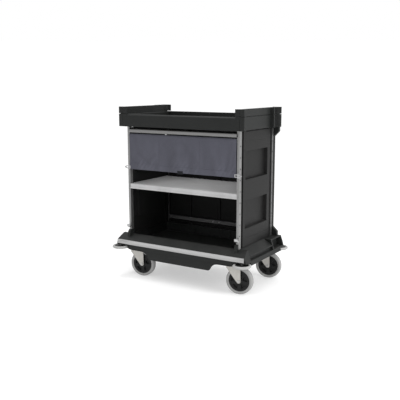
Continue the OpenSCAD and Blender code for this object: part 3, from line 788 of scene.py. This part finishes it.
@dataclass
class FrameDress:
    """Finishes and softened edges for the solids that come with the frame."""

    shop: Paintshop
    frame: Mapping[str, Any]
    crease: float = math.radians(28)

    def shade_group(self) -> bpy.types.GeometryNodeTree:
        """A node group that shades a mesh smooth except where faces meet at more than the crease angle."""
        group = bpy.data.node_groups.new("smooth_by_crease", "GeometryNodeTree")
        group.interface.new_socket("Geometry", in_out="INPUT", socket_type="NodeSocketGeometry")
        group.interface.new_socket("Geometry", in_out="OUTPUT", socket_type="NodeSocketGeometry")
        start, end = group.nodes.new("NodeGroupInput"), group.nodes.new("NodeGroupOutput")
        plain = group.nodes.new("GeometryNodeRemoveAttribute")
        plain.inputs["Name"].default_value = "custom_normal"
        faces = group.nodes.new("GeometryNodeSetShadeSmooth")
        edges = group.nodes.new("GeometryNodeSetShadeSmooth")
        edges.domain = "EDGE"
        angle = group.nodes.new("GeometryNodeInputMeshEdgeAngle")
        below = group.nodes.new("FunctionNodeCompare")
        below.operation = "LESS_THAN"
        below.inputs[1].default_value = self.crease
        link = group.links.new
        link(start.outputs[0], plain.inputs[0])
        link(plain.outputs[0], faces.inputs[0])
        link(faces.outputs[0], edges.inputs[0])
        link(angle.outputs["Unsigned Angle"], below.inputs[0])
        link(below.outputs[0], edges.inputs["Shade Smooth"])
        link(edges.outputs[0], end.inputs[0])
        return group

    def soften(self, node: bpy.types.Object, width: float, shade: bpy.types.GeometryNodeTree) -> None:
        """Joins a solid's loose triangles, rounds its sharp edges and shades it.

        Args:
            node: the frame's node.
            width: width of the rounding, in metres.
            shade: the shading group.
        """
        weld = node.modifiers.new("weld", "WELD")
        weld.merge_threshold = 0.01 * MM
        flat = node.modifiers.new("flats", "DECIMATE")
        flat.decimate_type = "DISSOLVE"
        flat.angle_limit = math.radians(0.3)
        split = node.modifiers.new("split", "TRIANGULATE")
        split.ngon_method = "BEAUTY"
        split.min_vertices = 5
        bevel = node.modifiers.new("edges", "BEVEL")
        bevel.width = width
        bevel.segments = 2
        bevel.limit_method = "ANGLE"
        bevel.angle_limit = self.crease
        bevel.loop_slide = False
        tidy = node.modifiers.new("tidy", "WELD")
        tidy.merge_threshold = 0.01 * MM
        node.modifiers.new("shade", "NODES").node_group = shade
        even = node.modifiers.new("even", "WEIGHTED_NORMAL")
        even.keep_sharp = True
        even.weight = 80

    def dress(self) -> None:
        """Gives every node its finish and its softened edges."""
        slots = {part["node"]: part["material_slot"] for part in self.frame["record"]["subparts"]}
        shade = self.shade_group()
        for name, node in sorted(self.frame["nodes"].items()):
            finish = by_start(NODE_FINISH, name, SLOT_FINISH[slots[name]])
            for slot in node.material_slots:
                slot.link = "OBJECT"
                slot.material = self.shop.get(finish)
            self.soften(node, by_start(EDGE_WIDTH, name, 0.4) * MM, shade)
            LOG.info("solid %s in %s", name, finish.name)


# ---- The blind ----

# Lines of the cloth's pressed creases and slack valleys: upper end, lower end, reach to the sides, all in
# metres across and up, then depth in millimetres
VALLEYS: tuple[tuple[float, ...], ...] = (
    (-0.188, 1.092, -0.189, 0.892, 0.0045, 2.6),
    (0.164, 1.096, 0.164, 0.892, 0.0045, 2.8),
    (0.016, 1.068, 0.143, 0.917, 0.020, 2.8),
    (0.040, 0.985, -0.060, 0.965, 0.030, 2.2),
    (0.427, 1.094, 0.381, 0.891, 0.012, 3.4),
    (0.445, 1.010, 0.425, 0.900, 0.009, 3.0),
    (0.268, 0.960, 0.262, 0.893, 0.022, 3.0),
    (0.310, 1.040, 0.345, 0.930, 0.022, 1.8),
    (-0.400, 1.080, -0.374, 0.967, 0.020, 2.2),
    (-0.374, 0.967, -0.290, 0.902, 0.014, 3.0),
    (-0.225, 0.965, -0.288, 0.900, 0.012, 3.2),
    (-0.098, 1.085, -0.143, 1.038, 0.014, 2.0),
    (-0.050, 0.985, -0.085, 0.928, 0.013, 2.8),
    (-0.450, 0.930, -0.415, 0.895, 0.012, 2.6),
)


@dataclass
class Blind:
    """The pull-down cloth, its sewn hem and its webbing tab."""

    shop: Paintshop
    width: float = 0.926
    top: float = 1.098
    roller: tuple[float, float] = (-0.253, 0.0134)
    plane: float = -0.2664
    hem_top: float = 0.886
    bottom: float = 0.8405
    bar_front: float = -0.26985
    bar_back: float = -0.26295
    hem_bulge_top: float = 0.878
    thickness: float = 0.6 * MM
    tab_thickness: float = 1.0 * MM
    thread: float = 0.32 * MM
    pitch: float = 4.2 * MM
    across: int = 330
    down: int = 150
    tab_half: float = 0.0245
    tab_top: float = 0.856
    tab_drop: float = 0.8325
    seed: int = 11

    def spine(self, count: int) -> tuple[np.ndarray, np.ndarray, np.ndarray]:
        """The cloth's middle line from the roller down, round the bar and up to the hem's seam.

        The line comes over the roller, drops in one plane, eases forward in front of the bar, turns under it
        in a half circle and rises behind it to the seam. It is resampled at equal steps of its own length.

        Args:
            count: number of points.

        Returns:
            Depth, height and distance along the cloth at each point.
        """
        half = (self.bar_back - self.bar_front) / 2
        middle = (self.bar_back + self.bar_front) / 2
        turn_z = self.bottom + half
        ease = np.linspace(0, 1, 12)
        smooth = ease * ease * (3 - 2 * ease)
        turn = np.linspace(math.pi, 2 * math.pi, 16)
        wrap = np.linspace(math.radians(20), math.pi, 18)
        y = np.concatenate([
            self.roller[0] + self.roller[1] * np.cos(wrap),
            [self.plane],
            self.plane + (self.bar_front - self.plane) * smooth,
            middle + half * np.cos(turn),
            self.bar_back + (self.plane + 1.3 * MM - self.bar_back) * smooth,
        ])
        z = np.concatenate([
            self.top + self.roller[1] * np.sin(wrap),
            [self.hem_top + 4 * MM],
            self.hem_top + (self.hem_bulge_top - self.hem_top) * ease,
            turn_z + half * np.sin(turn),
            self.hem_bulge_top - 2 * MM + (self.hem_top + 1 * MM - self.hem_bulge_top) * ease,
        ])
        length = np.concatenate([[0], np.cumsum(np.hypot(np.diff(y), np.diff(z)))])
        at = np.linspace(0, length[-1], count)
        return np.interp(at, length, y), np.interp(at, length, z), at

    def creases(self, x: np.ndarray, z: np.ndarray) -> np.ndarray:
        """How far the cloth stands forward of its plane, in metres.

        Broad folds hang from the roller and grow downwards, each a sine across the width that leans a
        little. Pressed creases and slack valleys each follow a straight line and fall off as a bell curve to
        both sides of it. Short puckers slant along the hem and fade within 70 mm above it. Folds stand out
        more to the front than to the back, where the shelf is, and they are calm behind the tab.

        Args:
            x: place across the cloth.
            z: height.

        Returns:
            The displacement, positive to the front.
        """
        chance = np.random.default_rng(self.seed)
        low = np.clip((self.top - 0.01 - z) / (self.top - self.hem_top), 0, 1)
        out = np.zeros_like(x)
        for wave, size in ((0.31, 1.8), (0.173, 1.6), (0.097, 1.2), (0.061, 0.6)):
            phase, lean = chance.uniform(0, 2 * math.pi), chance.uniform(-0.35, 0.35)
            out += size * np.sin(2 * math.pi * (x + lean * (self.top - z)) / wave + phase) * low
        for x0, z0, x1, z1, reach, depth in VALLEYS:
            run, drop = x1 - x0, z1 - z0
            share = np.clip(((x - x0) * run + (z - z0) * drop) / (run * run + drop * drop), 0, 1)
            away = np.hypot(x - x0 - share * run, z - z0 - share * drop)
            out -= depth * np.exp(-((away / reach) ** 2)) * np.clip((self.top - 0.004 - z) / 0.02, 0, 1)
        above = np.clip((z - self.hem_top) / 0.07, 0, 1)
        pucker = (1 - above) ** 2 * np.clip((z - self.bottom) / 0.02, 0.25, 1)
        patch = 0.6 + 0.4 * np.sin(2 * math.pi * x / 0.37 + 0.8)
        for wave, size, lean in ((0.034, 1.5, -0.62), (0.052, 0.9, -0.9), (0.0187, 0.3, 0.45)):
            phase = chance.uniform(0, 2 * math.pi)
            out += size * patch * pucker * np.sin(2 * math.pi * (x + lean * z) / wave + phase)
        calm = 0.25 + 0.75 * np.clip((np.abs(x) - self.tab_half) / 0.03, 0, 1)
        calm = 1 + (calm - 1) * np.clip((self.hem_top - z) / 0.02, 0, 1)
        ahead = 0.5 * (out + np.sqrt(out * out + 1.5))
        return (0.5 * out + 0.5 * ahead) * calm * MM

    @staticmethod
    def held(lift: np.ndarray) -> np.ndarray:
        """What the sewn hem leaves of a fold: under half of it, and next to nothing to the back."""
        return np.maximum(lift * 0.45, -0.15 * MM) + 0.1 * MM

    def cloth_surface(self) -> Surface:
        """The cloth as one sheet: the spine carried across the width, with its creases."""
        y, z, along = self.spine(self.down)
        x = np.linspace(-self.width / 2, self.width / 2, self.across)
        xx, zz = np.meshgrid(x, z)
        yy = np.broadcast_to(y[:, None], xx.shape)
        front = np.clip((self.bar_back - 1.0 * MM - yy) / (3.0 * MM), 0, 1)
        lift = self.creases(xx, zz)
        # Painted light and shade of the folds: above 0.55 on crests that stand forward, below 0.55 in valleys
        fold = np.clip(0.55 + lift * front / (7 * MM), 0, 1).ravel()
        inside = (zz < self.hem_top) & (front > 0.5)
        lift = np.where(inside, self.held(lift), lift) * front
        sag = 0.7 * MM * np.sin(2 * math.pi * xx / 0.52 + 0.6) * np.clip((self.hem_top - zz) / 0.04, 0, 1)
        share = np.clip((self.top - zz) / (self.top - self.bottom), 0, 1)
        draw = 1.6 * MM * np.sin(math.pi * share) * np.sign(xx)
        edge = np.clip((np.abs(xx) - self.width / 2 + 0.05) / 0.05, 0, 1) ** 2
        points = np.stack([xx - draw * edge, yy - lift, zz - sag * 0.6], axis=-1).reshape(-1, 3)
        flat = np.stack(np.broadcast_arrays(xx, -along[:, None]), axis=-1).reshape(-1, 2)
        return Surface(points, grid_faces(self.down, self.across), flat, fold)

    def stitch_row(self, height: float) -> Surface:
        """A row of short stitches that sit in the cloth's front."""
        xs = np.arange(-self.width / 2 + 6 * MM, self.width / 2 - 6 * MM, self.pitch)
        lift = self.creases(xs, np.full_like(xs, height))
        share = np.clip((self.hem_top - height) / (self.hem_top - self.hem_bulge_top), 0, 1)
        base = self.plane + (self.bar_front - self.plane) * share * share * (3 - 2 * share)
        if height < self.hem_top:
            lift = self.held(lift)
        t = np.linspace(-0.5, 0.5, 5)
        dip = 0.14 * MM * (4 * t * t)
        stitch = swept_rod(np.stack([t * self.pitch * 0.62, dip, 0 * t], axis=1), self.thread, 5)
        depth = base - lift - self.thickness / 2 - 0.05 * MM
        places = np.stack([xs, depth, np.full_like(xs, height)], axis=1)
        points = (places[:, None, :] + stitch.points[None, :, :]).reshape(-1, 3)
        starts = np.arange(len(xs)) * len(stitch.points)
        faces = (stitch.faces[None, :, :] + starts[:, None, None]).reshape(-1, 4)
        return Surface(points, faces)

    def tab_surface(self) -> Surface:
        """The webbing tab: a strip with fine ribs down it, folded under the hem."""
        half = 4.9 * MM
        middle = (self.bar_front + self.bar_back) / 2
        turn = np.linspace(math.pi, 2 * math.pi, 22)
        y = np.concatenate([[middle - half] * 8, middle + half * np.cos(turn)[1:-1], [middle + half] * 8])
        rise = np.linspace(self.tab_top, self.tab_drop + half, 8)
        z = np.concatenate([rise, self.tab_drop + half + half * np.sin(turn)[1:-1] * 0.9, rise[::-1]])
        along = np.concatenate([[0], np.cumsum(np.hypot(np.diff(y), np.diff(z)))])
        x = np.linspace(-self.tab_half, self.tab_half, 43)
        rib = 0.16 * MM * np.cos(2 * math.pi * x / (2.6 * MM))
        out_y = np.sign(y - middle) * np.minimum(np.abs(y - middle) / half, 1)
        points = np.stack([
            np.broadcast_to(x[None, :], (len(y), len(x))),
            y[:, None] + rib[None, :] * out_y[:, None],
            np.broadcast_to(z[:, None], (len(y), len(x))),
        ], axis=-1)
        flat = np.stack(np.broadcast_arrays(x[None, :], -along[:, None]), axis=-1)
        return Surface(points.reshape(-1, 3), grid_faces(len(y), len(x)), flat.reshape(-1, 2))

    def thicken(self, piece: bpy.types.Object, thickness: float) -> None:
        """Gives a sheet its thickness, half to each side."""
        solid = piece.modifiers.new("thickness", "SOLIDIFY")
        solid.thickness = thickness
        solid.offset = 0.0

    def make(self) -> None:
        """Builds the cloth, its stitches and its tab, and ties the stitches and the tab to the blind's body.
        """
        surface = self.cloth_surface()
        cloth = new_piece("blind_cloth", surface, self.shop.get(BLIND_CLOTH), close=False)
        self.thicken(cloth, self.thickness)
        rows = [self.stitch_row(self.hem_top - below * MM) for below in (1.5, 4.5)]
        stitches = new_piece("hem_stitches", Surface.joined(rows), self.shop.get(THREAD))
        tab = new_piece("pull_tab_webbing", self.tab_surface(), self.shop.get(TAB_WEBBING), close=False)
        self.thicken(tab, self.tab_thickness)
        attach(stitches, "blind")
        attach(tab, "blind")
        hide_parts("blind_curtain")
        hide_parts("pull_tab")
        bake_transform(cloth)


# ---- Castors ----


@dataclass
class Castor:
    """One swivel castor: grooved tyre, swivel cup and rolled fork edges."""

    shop: Paintshop
    name: str
    pivot: tuple[float, float]
    trail: float = 0.0504
    swivel: float = math.radians(9)
    axle: float = 0.1
    rim: float = 0.078
    tread: float = 0.1
    half_width: float = 0.021
    cheek: float = 0.031

    @property
    def steer(self) -> Matrix:
        """From the castor's own frame, with its swivel axis at the origin, to the row frame."""
        return Matrix.Translation((*self.pivot, 0)) @ Matrix.Rotation(self.swivel, 4, "Z")

    def tyre_profile(self) -> np.ndarray:
        """The tyre's outline: stepped flat sidewalls, rounded shoulders and three tread grooves."""
        w, r = self.half_width, self.tread
        groove_d, groove_w = 1.4 * MM, 1.1 * MM
        tread: list[tuple[float, float]] = []
        for middle in (-9.0 * MM, 0.0, 9.0 * MM):
            crown = r - 0.4 * MM * (middle / (9 * MM)) ** 2
            tread += [
                (crown, middle - groove_w * 1.5),
                (crown - groove_d, middle - groove_w * 0.6),
                (crown - groove_d, middle + groove_w * 0.6),
                (crown, middle + groove_w * 1.5),
            ]
        corners = [
            (self.rim, -w + 2 * MM),
            (self.rim + 2.5 * MM, -w + 0.4 * MM),
            (self.rim + 4 * MM, -w + 1.2 * MM),
            (self.rim + 6 * MM, -w),
            (r - 8 * MM, -w),
            (r - 1.6 * MM, -w + 3.5 * MM),
            *tread,
            (r - 1.6 * MM, w - 3.5 * MM),
            (r - 8 * MM, w),
            (self.rim + 6 * MM, w),
            (self.rim + 4 * MM, w - 1.2 * MM),
            (self.rim + 2.5 * MM, w - 0.4 * MM),
            (self.rim, w - 2 * MM),
        ]
        return rounded(corners, 1.8 * MM, 3)

    def make_tyre(self) -> None:
        """Builds the tyre in place of the frame's plain one."""
        lie = Matrix.Rotation(math.pi / 2, 4, "X")
        wheel = self.steer @ Matrix.Translation((self.trail, 0, self.axle)) @ lie
        ring = turned_ring(self.tyre_profile(), 144).moved(wheel)
        tyre = new_piece(f"grooved_tyre_{self.name}", ring, self.shop.get(TYRE_GREY))
        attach(tyre, f"wheel_{self.name}")
        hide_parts(f"wheel_tyre_{self.name}")

    def make_cup(self) -> None:
        """Builds the rounded steel cup over the swivel bearing."""
        floor, lip = 209.3, 216.2
        outer = [(28, floor), (36, floor), (38.5, 211.5), (37, 214.6), (31.5, lip)]
        profile = rounded([*outer, (31.5, 213.5), (28, 212.2)], 1.2, 3) * MM
        ring = turned_ring(profile, 64).moved(self.steer)
        cup = new_piece(f"swivel_cup_{self.name}", ring, self.shop.get(FORK_ZINC))
        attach(cup, f"castor_{self.name}")

    def make_fork_edges(self) -> None:
        """Builds the rolled edges that stiffen both cheeks, from the crown down to the axle eye."""
        steps = np.linspace(0, 1, 14)
        tip = np.linspace(math.radians(-15), math.radians(-160), 14)
        rear = np.stack([63.2 + 1.3 * steps, 198 - 88 * steps], axis=1)
        eye = np.stack([50.4 + 14.6 * np.cos(tip), 100 + 14.6 * np.sin(tip)], axis=1)
        front = np.stack([35.4 - 77 * steps, 95 + 100 * steps], axis=1)
        line = np.concatenate([rear, eye, front]) * MM
        rods = []
        for side in (-1, 1):
            across = np.full(len(line), side * self.cheek)
            rods.append(swept_rod(np.stack([line[:, 0], across, line[:, 1]], axis=1), 1.5 * MM, 8))
        rims = Surface.joined(rods).moved(self.steer)
        edges = new_piece(f"fork_edges_{self.name}", rims, self.shop.get(FORK_ZINC))
        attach(edges, f"castor_{self.name}")

    def make(self) -> None:
        """Builds the castor's pieces."""
        self.make_tyre()
        self.make_cup()
        self.make_fork_edges()


# ---- Studio ----


@dataclass
class Studio:
    """Camera, soft lights and a pale floor."""

    target: tuple[float, float, float] = (0.0, 0.0480, 0.5847)
    distance: float = 4.928
    azimuth: float = math.radians(31.708)
    elevation: float = math.radians(10.458)
    lens: float = 57.195
    shift: tuple[float, float] = (-0.00776, 0.00288)

    def set_camera(self) -> None:
        """Places the camera at the front right, a little above the tray."""
        back = Vector((
            math.sin(self.azimuth) * math.cos(self.elevation),
            -math.cos(self.azimuth) * math.cos(self.elevation),
            math.sin(self.elevation),
        ))
        data = bpy.data.cameras.new("camera")
        data.lens, data.sensor_width = self.lens, 36.0
        data.shift_x, data.shift_y = self.shift
        data.clip_end = 60
        camera = bpy.data.objects.new("camera", data)
        camera.location = Vector(self.target) + back * self.distance
        camera.rotation_mode = "QUATERNION"
        camera.rotation_quaternion = (-back).to_track_quat("-Z", "Y")
        bpy.context.scene.collection.objects.link(camera)
        bpy.context.scene.camera = camera
        LOG.info("camera at %s", tuple(round(c, 3) for c in camera.location))

    def add_light(
        self,
        name: str,
        place: Sequence[float],
        aim: Sequence[float],
        size: tuple[float, float],
        power: float,
    ) -> None:
        """Adds one rectangular soft light.

        Args:
            name: the light's name.
            place: its middle.
            aim: the point that it faces.
            size: its width and height.
            power: its power in watts.
        """
        data = bpy.data.lights.new(name, "AREA")
        data.shape, data.size, data.size_y, data.energy = "RECTANGLE", size[0], size[1], power
        light = bpy.data.objects.new(name, data)
        light.location = place
        light.rotation_mode = "QUATERNION"
        light.rotation_quaternion = (Vector(aim) - Vector(place)).to_track_quat("-Z", "Y")
        bpy.context.scene.collection.objects.link(light)

    def add_floor(self) -> None:
        """Adds the pale floor: a wide disc whose rim rises out of sight."""
        rings, steps = 24, 96
        share = np.linspace(0, 1, rings)[:, None]
        angle = np.linspace(0, 2 * math.pi, steps, endpoint=False)[None, :]
        radius = 0.2 + 11.8 * share**1.5
        height = np.broadcast_to(2.5 * np.clip((radius - 8) / 4, 0, 1) ** 2, (rings, steps))
        points = np.stack([radius * np.cos(angle), radius * np.sin(angle), height], axis=-1).reshape(-1, 3)
        shop = NodeShop("studio_floor")
        cloud = shop.noise(1.5, 3, 0.5)
        tone = shop.mix(cloud.ramp(0.3, 0.7), (0.60, 0.60, 0.60), (0.62, 0.62, 0.62))
        material = shop.done(
            Base_Color=tone,
            Roughness=cloud * 0.1 + 0.8,
            Specular_IOR_Level=0.1,
            Emission_Color=(1.0, 1.0, 1.0),
            Emission_Strength=0.42,
        )
        mesh = bpy.data.meshes.new("studio_floor")
        faces = [*grid_faces(rings, steps, False, True).tolist(), list(range(steps))]
        mesh.from_pydata(points.tolist(), [], faces)
        mesh.materials.append(material)
        floor = bpy.data.objects.new("studio_floor", mesh)
        bpy.context.scene.collection.objects.link(floor)

    def set_world(self, strength: float) -> None:
        """Sets an even white surround."""
        world = bpy.data.worlds.new("studio")
        world.use_nodes = True
        ground = world.node_tree.nodes["Background"]
        ground.inputs["Color"].default_value = (1, 1, 1, 1)
        ground.inputs["Strength"].default_value = strength
        bpy.context.scene.world = world

    def light(self) -> None:
        """Adds the surround, the floor and the lights."""
        bpy.context.scene.view_settings.view_transform = "Standard"
        self.set_world(1.0)
        self.add_floor()
        self.add_light("top_light", (0.2, -0.3, 3.6), (0, 0, 0.8), (3.4, 2.6), 20)
        self.add_light("side_light", (3.6, -0.3, 1.9), (0.3, 0, 0.6), (2.4, 2.2), 76)
        self.add_light("edge_light", (-1.3, -0.15, 3.5), (0, -0.3, 1.2), (1.1, 0.5), 34)
        self.add_light("shelf_light", (0, -0.02, 1.05), (0, -0.02, 0), (0.8, 0.4), 1.4)


def plain(box: tuple[Vector, Vector]) -> list[list[float]]:
    """A box's two corners as plain lists."""
    return [list(corner) for corner in box]


def main() -> None:
    """Builds the cart's looks round its frame."""
    logging.basicConfig(level=logging.INFO, format="%(name)s: %(message)s")
    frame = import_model()
    studio = Studio()
    studio.set_camera()
    shop = Paintshop()
    FrameDress(shop, frame).dress()
    Blind(shop).make()
    castor_x, castor_y = 0.4278, 0.2342
    for row, y in (("front", -castor_y), ("rear", castor_y)):
        for side, x in (("left", -castor_x), ("right", castor_x)):
            Castor(shop, f"{row}_{side}", (x, y)).make()
    studio.light()


if __name__ == "__main__":
    main()
